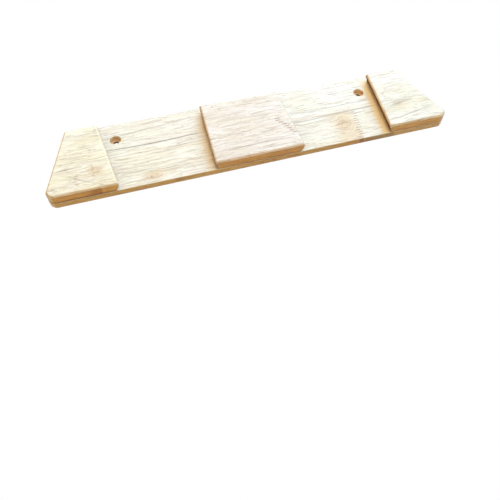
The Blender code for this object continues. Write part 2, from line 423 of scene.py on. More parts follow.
            lines.append(add(MATH, {0: line, 1: dash}, operation="MULTIPLY"))
        for line in lines:
            seam = add(MATH, {0: seam, 1: line}, operation="MAXIMUM")
        return stave, seam

    def bend(self, add: AddNode, grid: Signal) -> tuple[Signal, Signal, Signal]:
        """Bend the grain round the knots.

        Args:
            add: The function that adds a node.
            grid: The place in the wood, in millimetres.

        Returns:
            The bent place, how warm the wood is, and how much of the fine arches shows.
        """
        wobble = add(NOISE, {"Vector": grid, "Scale": 1 / self.wiggle_length, "Detail": 1.0})
        wobble = add(MATH, {0: wobble, 1: 2.0, 2: -1.0}, operation="MULTIPLY_ADD")
        bent = add(VECTOR, {0: (0.0, 0.0, self.wiggle_height), 1: wobble, 2: grid},
                   operation="MULTIPLY_ADD")
        warmth: Signal = 0.0
        arches: Signal = 0.0
        for knot in self.knots:
            away = add(VECTOR, {0: grid, 1: (1 / knot.along, 0.0, 1 / knot.across),
                                2: (-knot.x / knot.along, 0.0, -knot.height / knot.across)},
                       operation="MULTIPLY_ADD")
            reach = add(VECTOR, {0: away}, operation="LENGTH")
            reach = add(MATH, {0: wobble, 1: 0.5, 2: reach}, operation="MULTIPLY_ADD")
            # a knot bends the grain out to twice its own size
            bell = add(RANGE, {"Value": reach, "From Min": 2.0, "From Max": 0.0},
                       interpolation_type="SMOOTHSTEP")
            push = add(VECTOR, {0: away, 1: (0.0, 0.0, -knot.push * knot.across)}, operation="MULTIPLY")
            bent = add(VECTOR, {0: push, 1: bell, 2: bent}, operation="MULTIPLY_ADD")
            warmth = add(MATH, {0: bell, 1: knot.warmth, 2: warmth}, operation="MULTIPLY_ADD")
            if not knot.arches:
                continue
            phase = add(MATH, {0: reach, 1: math.tau * knot.across / knot.arch_spacing},
                        operation="MULTIPLY")
            wave = add(MATH, {0: phase}, operation="SINE")
            line = add(RANGE, {"Value": wave, "From Min": 0.1, "From Max": 0.9, "To Max": knot.arches})
            # its heart has no arches
            clear = add(RANGE, {"Value": reach, "From Min": 0.1, "From Max": 0.6})
            line = add(MATH, {0: line, 1: bell}, operation="MULTIPLY")
            arches = add(MATH, {0: line, 1: clear, 2: arches}, operation="MULTIPLY_ADD")
        return bent, warmth, arches

    def rings(self, add: AddNode, place: Signal, stave: Signal, wave: Signal) -> bpy.types.Node:
        """Cut the growth rings lengthwise, round a pith behind the board.

        Args:
            add: The function that adds a node.
            place: The bent place in the wood, in millimetres.
            stave: The stave's number.
            wave: A slow noise that warps the rings.

        Returns:
            How much of a ring shows.
        """
        # steps of the golden section spread the staves' piths evenly
        chance = add(MATH, {0: add(MATH, {0: stave, 1: 0.618}, operation="MULTIPLY")}, operation="FRACT")
        behind, lowest, spread = self.pith
        level = add(MATH, {0: chance, 1: spread, 2: lowest}, operation="MULTIPLY_ADD")
        pith = add("ShaderNodeCombineXYZ", {"Y": behind, "Z": level})
        away = add(VECTOR, {0: place, 1: pith}, operation="SUBTRACT")
        flat = add(VECTOR, {0: away, 1: (0.0, 1.0, 1.0)}, operation="MULTIPLY")
        radius = add(VECTOR, {0: flat}, operation="LENGTH")
        along = add(SPLIT, {0: place}).outputs["X"]
        arched = add(MATH, {0: along, 1: self.ring_slope, 2: radius}, operation="MULTIPLY_ADD")
        warped = add(MATH, {0: wave, 1: self.ring_warp, 2: arched}, operation="MULTIPLY_ADD")
        count = add(MATH, {0: warped, 1: 1 / self.ring_spacing}, operation="MULTIPLY")
        count = add(MATH, {0: stave, 1: self.ring_step, 2: count}, operation="MULTIPLY_ADD")
        noise = add(NOISE, {"W": count, "Scale": 1.0, "Detail": 1.5, "Roughness": 0.55},
                    noise_dimensions="1D")
        return add(RANGE, {"Value": noise, "From Min": self.ring_low, "From Max": self.ring_high,
                           "To Max": self.ring_share})

    def streaked(self, add: AddNode, x: Signal, height: Signal, wave: Signal) -> list[Coat]:
        """Draw the long thin streaks.

        Args:
            add: The function that adds a node.
            x: The place along the rack.
            height: The height above its lower edge.
            wave: A slow noise that the streaks wander with.

        Returns:
            A coat for each streak.
        """
        coats = []
        for streak in self.streaks:
            level = streak.height - streak.rise * (streak.start + streak.end) / 2 - streak.wander / 2
            course = add(MATH, {0: x, 1: streak.rise, 2: level}, operation="MULTIPLY_ADD")
            course = add(MATH, {0: wave, 1: streak.wander, 2: course}, operation="MULTIPLY_ADD")
            off = add(MATH, {0: height, 1: course}, operation="SUBTRACT")
            gap = add(MATH, {0: off}, operation="ABSOLUTE")
            line = add(RANGE, {"Value": gap, "From Min": streak.blur * streak.width, "From Max": 0.0,
                               "To Max": streak.darkness}, interpolation_type="SMOOTHSTEP")
            for end, fade in ((streak.start, streak.fade), (streak.end, -streak.fade)):
                begun = add(RANGE, {"Value": x, "From Min": end - fade, "From Max": end + fade})
                line = add(MATH, {0: line, 1: begun}, operation="MULTIPLY")
            coats.append(Coat(line, self.dark))
        return coats

    def facets(self, add: AddNode, normal: Signal) -> tuple[list[Coat], Signal, Signal]:
        """Tell roundings, lower sides, ends and undercut lips by the way they face.

        Args:
            add: The function that adds a node.
            normal: The way that the surface faces.

        Returns:
            Their coats, how squarely a facet faces front or back, and where the lips, the undercuts and the
            back arris get painted shade.
        """
        facing = add(SPLIT, {0: normal})
        backward, upward = facing.outputs["Y"], facing.outputs["Z"]
        turned = add(MATH, {0: backward}, operation="ABSOLUTE")
        below = add(MATH, {0: upward, 1: -1.0}, operation="MULTIPLY")
        upright = add(MATH, {0: upward}, operation="ABSOLUTE")
        endways = add(MATH, {0: facing.outputs["X"]}, operation="ABSOLUTE")
        endways = add(MATH, {0: endways, 1: upward}, operation="MAXIMUM")
        # an undercut side faces backward, but neither up nor down
        hollow = add(MATH, {0: upright, 1: -2.0, 2: backward}, operation="MULTIPLY_ADD")
        # the lower sides' deep orange brown is painted shade, and so is part of the roundings' tan
        # each facet with the values where it begins to show and where it shows fully
        rounding, side, end, lip_shade, leaning = [
            add(RANGE, {"Value": facet, "From Min": first, "From Max": last},
                interpolation_type="SMOOTHSTEP")
            for facet, first, last in (
                (turned, 0.985, 0.93), (below, 0.80, 0.99), (endways, 0.75, 0.92),
                (hollow, -0.65, 0.0), (backward, 0.10, 0.35))]
        # painted shade in the backs of the lips, the undercuts and the back arris, but not on the flat back
        not_back = add(MATH, {0: backward, 1: 0.97}, operation="LESS_THAN")
        lip_shade = add(MATH, {0: lip_shade, 1: leaning}, operation="MAXIMUM")
        lip_shade = add(MATH, {0: lip_shade, 1: not_back}, operation="MULTIPLY")
        toned = ((rounding, self.rounding), (side, self.side), (end, self.end), (lip_shade, self.undercut))
        return [Coat(share, colour, Blend.SOAKED) for share, colour in toned], turned, lip_shade

    def bored(self, add: AddNode, grid: Signal, depth: Signal) -> list[Coat]:
        """Tone the walls of the bored holes, with painted shade in the narrow bores.

        Args:
            add: The function that adds a node.
            grid: The place in the wood, in millimetres.
            depth: The y of that place.

        Returns:
            A coat for each step of each hole.
        """
        coats = []
        for x, height in self.holes:
            away = add(VECTOR, {0: grid, 1: (1.0, 0.0, 1.0), 2: (-x, 0.0, -height)},
                       operation="MULTIPLY_ADD")
            distance = add(VECTOR, {0: away}, operation="LENGTH")
            for bore in self.bores:
                near = add(MATH, {0: distance, 1: bore.reach}, operation="LESS_THAN")
                before = add(MATH, {0: depth, 1: bore.end}, operation="LESS_THAN")
                inside = add(RANGE, {"Value": depth, "From Min": bore.begin, "From Max": bore.begin + 0.4,
                                     "To Max": self.bore_share})
                for share in (near, before):
                    inside = add(MATH, {0: share, 1: inside}, operation="MULTIPLY")
                coats.append(Coat(inside, bore.colour, bore.blend))
        return coats

    def shadows_beside_blocks(self, add: AddNode, x: Signal, height: Signal, depth: Signal) -> list[Coat]:
        """Paint the warm shadows on the board's front, to the left of the blocks.

        Args:
            add: The function that adds a node.
            x: The place along the rack.
            height: The height above its lower edge.
            depth: The y of that place.

        Returns:
            A coat for each painted shadow.
        """
        coats = []
        for shadow in self.painted_shadows:
            slope = (shadow.lower - shadow.upper) / shadow.height
            course = add(MATH, {0: height, 1: slope, 2: -shadow.lower}, operation="MULTIPLY_ADD")
            off = add(MATH, {0: x, 1: course}, operation="ADD")
            share = add(RANGE, {"Value": off, "From Min": -shadow.reach, "From Max": 0.0,
                                "To Max": shadow.share}, interpolation_type="SMOOTHSTEP")
            before = add(MATH, {0: off, 1: 2 * shadow.reach}, operation="LESS_THAN")
            flat = add(MATH, {0: depth, 1: self.front + 0.5}, operation="LESS_THAN")
            # it thins out at the block's upper end
            under = add(RANGE, {"Value": height, "From Min": shadow.height + 1.0,
                                "From Max": shadow.height - 3.0})
            for limit in (before, flat, under):
                share = add(MATH, {0: share, 1: limit}, operation="MULTIPLY")
            coats.append(Coat(share, self.painted_shadow_colour))
        return coats

    def soaked(self, add: AddNode, depth: Signal, turned: Signal, fibres: Signal) -> list[Coat]:
        """Stain a block's sides where glue soaked in along the joint.

        Args:
            add: The function that adds a node.
            depth: The y of a place in the wood.
            turned: 1 on the front and 0 on the sides.
            fibres: The noise of the fibres, which makes the stain uneven.

        Returns:
            The stain's coat, or none where the wood has no stain.
        """
        if not self.glue_stain:
            return []
        gap = add(MATH, {0: depth, 1: self.front}, operation="SUBTRACT")
        gap = add(MATH, {0: fibres, 1: self.stain_fray, 2: gap}, operation="MULTIPLY_ADD")
        near = add(RANGE, {"Value": gap, "From Min": -self.stain_reach, "From Max": self.stain_full,
                           "To Max": self.glue_stain})
        side = add(RANGE, {"Value": turned, "From Min": 0.5, "From Max": 0.2})
        return [Coat(add(MATH, {0: near, 1: side}, operation="MULTIPLY"), self.glued, Blend.SOAKED)]

    def tinted(self, add: AddNode, x: Signal, height: Signal, turned: Signal) -> list[Coat]:
        """Tone the stretches that have a tone of their own.

        Args:
            add: The function that adds a node.
            x: The place along the rack.
            height: The height above its lower edge.
            turned: 1 on the front and 0 on the sides.

        Returns:
            A coat for each stretch.
        """
        coats = []
        for tint in self.tints:
            inside = add(RANGE, {"Value": x, "From Min": tint.start - tint.fade,
                                 "From Max": tint.start + tint.fade}, interpolation_type="SMOOTHSTEP")
            going = add(RANGE, {"Value": x, "From Min": tint.end + 0.5, "From Max": tint.end - 0.5})
            level = add(MATH, {0: height, 1: (tint.low + tint.high) / 2, 2: (tint.high - tint.low) / 2},
                        operation="COMPARE")
            amount = add(RANGE, {"Value": turned, "From Min": 0.9, "From Max": 0.4,
                                 "To Min": tint.share, "To Max": tint.side_share})
            for limit in (going, level, amount):
                inside = add(MATH, {0: inside, 1: limit}, operation="MULTIPLY")
            coats.append(Coat(inside, tint.colour, Blend.SOAKED))
        return coats

    def make(self, lower_edge: float) -> bpy.types.Material:
        """Build the material.

        Args:
            lower_edge: Height of the rack's lower edge in the model, in metres.

        Returns:
            The finished material.
        """
        material, add = new_material(self.name)
        place = add(COORDINATES)
        grid = add(VECTOR, {0: place.outputs["Object"], 1: (1 / MM,) * 3, 2: (0.0, 0.0, -lower_edge / MM)},
                   operation="MULTIPLY_ADD")
        x, depth, height = add(SPLIT, {0: grid}).outputs
        stave, seam = self.staves(add, x, height)
        bent, warmth, arches = self.bend(add, grid)
        own = add(VECTOR, {0: self.stave_offset, "Scale": stave}, operation="SCALE")
        moved = add(VECTOR, {0: bent, 1: own}, operation="ADD")

        coats: list[Coat] = []
        noises: list[bpy.types.Node] = []
        for figure in (self.clouds, self.blush, self.fibres, self.strands, self.lines, self.pores):
            sized = add(VECTOR, {0: moved, 1: (1 / figure.along, 1 / figure.across, 1 / figure.across)},
                        operation="MULTIPLY")
            noises.append(add(NOISE, {"Vector": sized, "Scale": 1.0, "Detail": figure.detail}))
            share = add(RANGE, {"Value": noises[-1], "From Min": figure.low, "From Max": figure.high,
                                "To Max": figure.share}, interpolation_type="SMOOTHSTEP")
            coats.append(Coat(share, figure.colour))
        wave, fibres, pores = noises[0], noises[2], coats[-1].share
        coats.append(Coat(self.rings(add, bent, stave, wave), self.ring_colour))
        coats += self.streaked(add, x, height, wave)
        coats += [Coat(seam, self.seamed), Coat(arches, self.dark), Coat(warmth, self.amber, Blend.SOAKED)]
        toned, turned, lip_shade = self.facets(add, place.outputs["Normal"])
        coats += toned + self.bored(add, grid, depth) + self.shadows_beside_blocks(add, x, height, depth)
        coats += self.soaked(add, depth, turned, fibres) + self.tinted(add, x, height, turned)
        tone: Signal = linear(self.pale)
        for coat in coats:
            tone = add(MIX, {"Factor": coat.share, "A": tone, "B": linear(coat.colour)},
                       data_type="RGBA", blend_type=coat.blend.value)

        gloss = add(MATH, {0: fibres, 1: self.fibre_roughness, 2: self.lacquer_roughness},
                    operation="MULTIPLY_ADD")
        for share, rougher in ((pores, self.pore_roughness), (lip_shade, self.sawn_roughness)):
            gloss = add(MATH, {0: share, 1: rougher, 2: gloss}, operation="MULTIPLY_ADD")
        relief = add(MATH, {0: fibres, 1: self.fibre_relief}, operation="MULTIPLY")
        relief = add(MATH, {0: pores, 1: self.pore_relief, 2: relief}, operation="MULTIPLY_ADD")
        bump = add(BUMP, {"Height": relief, "Strength": self.relief_strength,
                          "Distance": self.relief_height * MM})
        shader = add(PRINCIPLED, {"Base Color": tone, "Roughness": gloss, "Normal": bump, "IOR": 1.50,
                                  "Coat Weight": 0.06, "Coat Roughness": 0.30})
        add(OUTPUT, {"Surface": shader})
        return material


@dataclass(frozen=True)
class CloudedFinish:
    """A finish of two near tones that drift into each other, with clouds of a size in metres."""

    name: str
    light: str
    shade: str
    cloud: float
    detail: float

    def start(self) -> tuple[bpy.types.Material, AddNode, Signal, Signal]:
        """Make the material and mix its tones.

        Returns:
            The material, the function that adds nodes to it, the place on the object, and the
            mixed tone.
        """
        material, add = new_material(self.name)
        place = add(COORDINATES).outputs["Object"]
        clouds = add(NOISE, {"Vector": place, "Scale": 1 / self.cloud, "Detail": self.detail})
        tone = add(MIX, {"Factor": clouds, "A": linear(self.light), "B": linear(self.shade)},
                   data_type="RGBA")
        return material, add, place, tone


@dataclass(frozen=True)
class ZincPlatedSteel(CloudedFinish):
    """Steel wire, cold headed and threaded, then zinc plated and passivated to a faint straw."""

    name: str = "zinc_plated_steel_passivated"
    light: str = "#CFCBB8"
    shade: str = "#A8A288"
    cloud: float = 2 * MM
    detail: float = 3.0
    handling_mark: float = 0.2 * MM

    def make(self) -> bpy.types.Material:
        """Build the material, which looks soft silver with a faint yellow cloud.

        Returns:
            The finished material.
        """
        material, add, place, tone = self.start()
        marks = add(NOISE, {"Vector": place, "Scale": 1 / self.handling_mark, "Detail": 2.0})
        gloss = add(RANGE, {"Value": marks, "To Min": 0.24, "To Max": 0.46})
        shader = add(PRINCIPLED, {"Base Color": tone, "Roughness": gloss, "Metallic": 1.0})
        add(OUTPUT, {"Surface": shader})
        return material


@dataclass(frozen=True)
class DriedWoodGlue(CloudedFinish):
    """White wood glue, squeezed out, wiped flush and dried: an amber brown film with a soft shine.

    Wiped glue is uneven over about 4 mm.
    """

    name: str = "pva_wood_glue_dried"
    light: str = "#8A5C2A"
    shade: str = "#5E3A18"
    cloud: float = 4 * MM
    detail: float = 2.0

    def make(self) -> bpy.types.Material:
        """Build the material, which reads as a thin brown line between two pieces of wood.

        Returns:
            The finished material.
        """
        material, add, _, tone = self.start()
        shader = add(PRINCIPLED, {"Base Color": tone, "Roughness": 0.38, "IOR": 1.47})
        add(OUTPUT, {"Surface": shader})
        return material


@dataclass(frozen=True)
class MattPaint(CloudedFinish):
    """Rolled matt emulsion on a studio floor: off-white, with a fine orange-peel.

    Roller laps are half a metre apart, and the orange-peel is about 3 mm.
    """

    name: str = "matt_emulsion_rolled"
    light: str = "#F1E9DC"
    shade: str = "#EAE1D3"
    cloud: float = 0.5
    detail: float = 2.0
    peels_per_metre: float = 330.0

    def make(self) -> bpy.types.Material:
        """Build the material, which looks evenly pale.

        Returns:
            The finished material.
        """
        material, add, place, tone = self.start()
        peel = add(NOISE, {"Vector": place, "Scale": self.peels_per_metre, "Detail": 1.0})
        bump = add(BUMP, {"Height": peel, "Strength": 0.2, "Distance": 0.2 * MM})
        shader = add(PRINCIPLED, {"Base Color": tone, "Roughness": 0.85, "Normal": bump})
        add(OUTPUT, {"Surface": shader})
        return material


class Side(Enum):
    """The rack's left or right as it hangs, with the sign of x there."""

    LEFT = -1
    RIGHT = 1


@dataclass(frozen=True)
class Corner:
    """A corner of an outline, in metres, and the radius that rounds it."""

    x: float
    z: float
    radius: float = 0.0


def rounded_corner(place: Vector, before: Vector, after: Vector, radius: float) -> list[Vector]:
    """Work out the arc that rounds off one corner of an outline.

    Args:
        place: The sharp corner.
        before: The corner before it.
        after: The corner after it.
        radius: The arc's radius.

    Returns:
        The points of the arc, or the corner alone when there is no radius.
    """
    if radius <= 0:
        return [place]
    back = (before - place).normalized()
    ahead = (after - place).normalized()
    half_angle = back.angle(ahead) / 2
    reach = radius / math.tan(half_angle)
    centre = place + (back + ahead).normalized() * radius / math.sin(half_angle)
    start = place + back * reach - centre
    end = place + ahead * reach - centre
    sweep = start.angle(end)
    points = []
    for step in range(CORNER_STEPS + 1):
        share = step / CORNER_STEPS
        spoke = (start * math.sin((1 - share) * sweep) + end * math.sin(share * sweep)) / math.sin(sweep)
        points.append(centre + spoke)
    return points


def rounded_outline(corners: list[Corner]) -> list[Vector]:
    """Draw the outline through the corners, with each of them rounded.

    Args:
        corners: The corners in order.

    Returns:
        The outline's points.
    """
    places = [Vector((corner.x, corner.z)) for corner in corners]
    points: list[Vector] = []
    for index, corner in enumerate(corners):
        after = places[(index + 1) % len(places)]
        points += rounded_corner(places[index], places[index - 1], after, corner.radius)
    return points


def plate(outline: list[Vector], back: float, front: float) -> Shape:
    """Make a flat piece of wood from its outline.

    Args:
        outline: The outline in x and z.
        back: The y of its back.
        front: The y of its front.

    Returns:
        The closed shape.
    """
    shape = bmesh.new()
    face = shape.faces.new([shape.verts.new((point.x, front, point.y)) for point in outline])
    grown = bmesh.ops.extrude_face_region(shape, geom=[face])
    for item in grown["geom"]:
        if isinstance(item, bmesh.types.BMVert):
            item.co.y = back
    bmesh.ops.recalc_face_normals(shape, faces=shape.faces)
    return shape


def saw_off(shape: Shape, point: Vector, normal: Vector) -> None:
    """Saw away the side of a plane that its normal points to, and close the cut.

    Args:
        shape: The wood that is cut.
        point: A point of the plane.
        normal: The plane's normal.
    """
    everything = shape.verts[:] + shape.edges[:] + shape.faces[:]
    cut = bmesh.ops.bisect_plane(
        shape, geom=everything, dist=MERGE, plane_co=point, plane_no=normal, clear_outer=True)
    rim = [item for item in cut["geom_cut"] if isinstance(item, bmesh.types.BMEdge)]
    bmesh.ops.holes_fill(shape, edges=rim)
    bmesh.ops.recalc_face_normals(shape, faces=shape.faces)


def skin(shape: Shape, rings: list[Ring]) -> None:
    """Close a shape over rings of points. A ring of one point ends it in a tip.

    Args:
        shape: The shape that holds the points.
        rings: The rings in order.
    """
    sides = max(len(ring) for ring in rings)
    for first, second in zip(rings, rings[1:]):
        for index in range(sides):
            after = (index + 1) % sides
            corners = [first[index % len(first)], first[after % len(first)],
                       second[after % len(second)], second[index % len(second)]]
            shape.faces.new(list(dict.fromkeys(corners)))
    for ring in (rings[0], rings[-1]):
        if len(ring) > 1:
            shape.faces.new(ring)
    bmesh.ops.recalc_face_normals(shape, faces=shape.faces)


def ring_about_y(shape: Shape, depth: float, radii: list[float]) -> Ring:
    """Lay one ring of points about the Y axis.

    Args:
        shape: The shape that gets the points.
        depth: The y of the ring.
        radii: The radius of each point.

    Returns:
        The points.
    """
    ring = []
    for index, radius in enumerate(radii):
        angle = math.tau * index / len(radii)
        ring.append(shape.verts.new((radius * math.cos(angle), depth, radius * math.sin(angle))))
    return ring


def lathe(profile: Profile, sides: int) -> Shape:
    """Turn a profile about an axis along Y.

    Args:
        profile: (radius, y) points, listed front to back. A radius of 0 closes the shape.
        sides: How many sides the turned shape has.

    Returns:
        The turned shape.
    """
    shape = bmesh.new()
    rings = [ring_about_y(shape, depth, [radius] * (sides if radius else 1)) for radius, depth in profile]
    skin(shape, rings)
    return shape


def arc_profile(start: tuple[float, float], end: tuple[float, float], steps: int = 6) -> Profile:
    """Draw a rounded corner of a profile, which starts out across the axis and ends along it.

    Args:
        start: Its first (radius, y) point.
        end: Its last one.
        steps: How many lines it is drawn with.

    Returns:
        The points after the first one.
    """
    corner = (end[0], start[1])
    shares = [step / steps for step in range(1, steps + 1)]
    return [tuple((1 - share) ** 2 * a + 2 * share * (1 - share) * c + share ** 2 * b
                  for a, b, c in zip(start, end, corner)) for share in shares]


def put_in_scene(name: str, data: bpy.types.ID) -> bpy.types.Object:
    """Put a mesh, a lamp or a camera in the scene.

    Args:
        name: The name of its object.
        data: What is put there.

    Returns:
        The object.
    """
    thing = bpy.data.objects.new(name, data)
    bpy.context.scene.collection.objects.link(thing)
    return thing


@dataclass
class Piece:
    """Something made of one mesh that goes on the rack."""

    name: str
    shape: Shape
    material: bpy.types.Material
    slot: str
    node: str | None = None
    cutters: list[Shape] = field(default_factory=list)
    rounding: float = 0.0

    def weigh(self, weight_of: Callable[[Vector, Vector], float]) -> None:
        """Give each edge its bevel weight.

        Args:
            weight_of: The rule that works the weight out from the edge's two ends.
        """
        weights = self.shape.edges.layers.float.new("bevel_weight_edge")
        for edge in self.shape.edges:
            edge[weights] = weight_of(edge.verts[0].co, edge.verts[1].co)

    def settle(self, piece: bpy.types.Object) -> bpy.types.Mesh:
        """Round the object's edges, cut its holes, and make the result its mesh.

        Args:
            piece: The object with the plain mesh.

        Returns:
            The new mesh.
        """
        if self.rounding:
            bevel = piece.modifiers.new("rounded_edges", "BEVEL")
            bevel.limit_method = "WEIGHT"
            bevel.offset_type = "OFFSET"
            bevel.width = self.rounding
            bevel.segments = ROUNDING_STEPS
            bevel.use_clamp_overlap = True
            bevel.loop_slide = True
        used = [piece.data]
        for cutter in self.cutters:
            tool = put_in_scene("cutter", bpy.data.meshes.new("cutter"))
            cutter.to_mesh(tool.data)
            cutter.free()
            cut = piece.modifiers.new("cut", "BOOLEAN")
            cut.operation = "DIFFERENCE"
            cut.solver = "EXACT"
            cut.object = tool
            used.append(tool.data)
        bpy.context.view_layer.update()
        settled = bpy.data.meshes.new_from_object(piece.evaluated_get(bpy.context.evaluated_depsgraph_get()))
        piece.modifiers.clear()
        piece.data = settled
        for mesh in used:
            bpy.data.meshes.remove(mesh)
        settled.name = self.name
        return settled

    def finish(self) -> None:
        """Shape the piece, keep it in its CAD box, give it its material, and put it on the rack."""
        mesh = bpy.data.meshes.new(self.name)
        self.shape.to_mesh(mesh)
        self.shape.free()
        piece = put_in_scene(self.name, mesh)
        settled = self.settle(piece)
        self.keep_in_box(settled)
        settled.materials.clear()
        settled.materials.append(self.material)
        settled.shade_smooth()
        settled.set_sharp_from_angle(angle=SHARP_ANGLE)
        even = piece.modifiers.new("even_shading", "WEIGHTED_NORMAL")
        even.keep_sharp = True
        even.weight = 100
        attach(piece, BODY)
        if self.node:
            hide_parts(self.node)
        LOG.info("%s: %d faces", self.name, len(settled.polygons))

    def keep_in_box(self, mesh: bpy.types.Mesh) -> None:
        """Clamp the vertices to the box of the CAD node that the piece stands for.

        Args:
            mesh: The piece's mesh.
        """
        if not self.node:
            return
        low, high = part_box(self.node)
        for vertex in mesh.vertices:
            vertex.co = [min(max(value, lowest), highest)
                         for value, lowest, highest in zip(vertex.co, low, high)]
        mesh.update()


@dataclass
class Rack:
    """The sizes that the board and its blocks share, in metres."""

    length: float = 0.483
    height: float = 0.1016
    board_thickness: float = 0.008
    end_lean: float = 0.0345
    lower_corner: float = 0.009
    upper_corner: float = 0.004
    hole_spacing: float = 0.310
    hole_height: float = 0.076
    block_thickness: float = 0.0105
    top_setback: float = 0.006
    centre_lower_width: float = 0.1105
    centre_upper_width: float = 0.101
    slot_lower_width: float = 0.1045
    slot_upper_width: float = 0.1195
    undercut: float = 0.005
    glue_line: float = 0.0003
    lower_screw_height: float = 0.022
    upper_screw_height: float = 0.074
    centre_screw_reach: float = 0.022

    @property
    def block_height(self) -> float:
        """Height of the blocks, which stop short of the board's upper edge."""
        return self.height - self.top_setback

    @property
    def lower_edge(self) -> float:
        """The z of the rack's lower edge."""
        return -self.hole_height

    @property
    def board_front(self) -> float:
        """The y of the board's front."""
        return -self.board_thickness

    @property
    def block_base(self) -> float:
        """The y of the blocks' glued faces."""
        return self.board_front - self.glue_line

    @property
    def block_front(self) -> float:
        """The y of the blocks' fronts."""
        return self.block_base - self.block_thickness

    def board_end_at(self, height: float) -> float:
        """How far the board's slanted end is from the middle, at a height."""
        return self.length / 2 - self.end_lean * height / self.height

    def end_lip_at(self, height: float) -> float:
        """Find how far an end block's lip is from the middle.

        Args:
            height: The height above the lower edge.

        Returns:
            The distance.
        """
        lower = self.centre_lower_width / 2 + self.slot_lower_width
        upper = self.centre_upper_width / 2 + self.slot_upper_width
        return lower + (upper - lower) * height / self.block_height

    def end_block_middle_at(self, height: float) -> float:
        """The middle of an end block's glued face, at a height."""
        return (self.board_end_at(height) + self.end_lip_at(height) + self.undercut) / 2

    def slot_cut_plane(self, lower: float, upper: float, towards: int) -> Plane:
        """Find the leaning saw cut that makes one side of a slot.

        Args:
            lower: The x of the lip at the block's lower end.
            upper: The x of the lip at its upper end.
            towards: +1 where the slot lies on the +X side, -1 on the other.

        Returns:
            A point and the normal of the plane.
        """
        lip_low = Vector((lower, self.block_front, self.lower_edge))
        lip_high = Vector((upper, self.block_front, self.lower_edge + self.block_height))
        base_low = Vector((lower - towards * self.undercut, self.block_base, self.lower_edge))
        normal = (lip_high - lip_low).cross(base_low - lip_low).normalized()
        if normal.x * towards < 0:
            normal.negate()
        return lip_low, normal

    def screw_places(self) -> dict[str, list[tuple[str, Vector]]]:
        """List the two screws of each block.

        Returns:
            For each block, its screws' node names and places on the board's back.
        """
        low, high = self.lower_screw_height, self.upper_screw_height
        places: dict[str, list[tuple[str, Vector]]] = {}
        for side in Side:
            label = side.name.lower()
            places[f"{label}_end_block"] = [
                (f"{label}_block_{level}_screw",
                 Vector((side.value * self.end_block_middle_at(height), 0.0, self.lower_edge + height)))
                for level, height in (("lower", low), ("upper", high))]
        places["centre_block"] = [
            (f"centre_block_{side.name.lower()}_screw",
             Vector((side.value * self.centre_screw_reach, 0.0, self.lower_edge + (low + high) / 2)))
            for side in Side]
        return places


